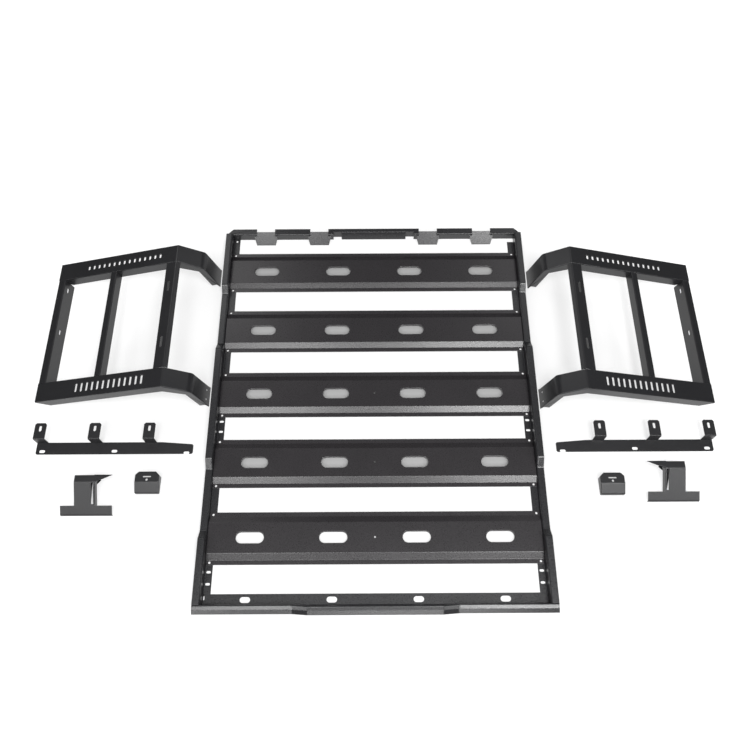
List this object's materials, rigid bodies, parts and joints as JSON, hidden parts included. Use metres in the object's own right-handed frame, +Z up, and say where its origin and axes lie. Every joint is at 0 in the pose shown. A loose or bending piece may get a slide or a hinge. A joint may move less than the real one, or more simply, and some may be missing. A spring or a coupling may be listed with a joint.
{
  "type": "roof rack",
  "caption": "Knock-down vehicle roof rack of folded black sheet steel: slatted deck with a notched front rail, two side frames with bent arms, gutter strips with hooks and small brackets.",
  "frame": {"origin": "on the floor, under the middle of the deck", "axes": "+Z up, +Y towards the rear of the vehicle, +X to its right side"},
  "size_m": [2.694, 1.651, 0.1979],
  "materials": {
    "slat_coat": "satin black powder coat with a fine grain",
    "rail_coat": "satin black powder coat with a fine grain",
    "frame_coat": "satin black powder coat with a fine grain",
    "bracket_coat": "satin black powder coat with a fine grain"
  },
  "bodies": {
    "root": {"left_side_rail": "rail_coat", "right_side_rail": "rail_coat", "front_rail": "rail_coat", "rear_rail": "rail_coat", "slat_1": "slat_coat", "slat_2": "slat_coat", "slat_3": "slat_coat", "slat_4": "slat_coat", "slat_5": "slat_coat", "rear_tab_1": "rail_coat", "rear_tab_2": "rail_coat", "rear_tab_3": "rail_coat", "rear_tab_4": "rail_coat", "rear_flap": "rail_coat", "left_frame_front_beam": "frame_coat", "left_frame_rear_beam": "frame_coat", "left_frame_outer_post": "frame_coat", "left_frame_centre_post": "frame_coat", "left_frame_inner_post": "frame_coat", "right_frame_front_beam": "frame_coat", "right_frame_rear_beam": "frame_coat", "right_frame_outer_post": "frame_coat", "right_frame_centre_post": "frame_coat", "right_frame_inner_post": "frame_coat", "left_gutter_strip": "bracket_coat", "left_hook_1": "bracket_coat", "left_hook_2": "bracket_coat", "left_hook_3": "bracket_coat", "right_gutter_strip": "bracket_coat", "right_hook_1": "bracket_coat", "right_hook_2": "bracket_coat", "right_hook_3": "bracket_coat", "left_tee_bracket": "bracket_coat", "right_tee_bracket": "bracket_coat", "left_cap_bracket": "bracket_coat", "right_cap_bracket": "bracket_coat"}
  },
  "joints": []
}
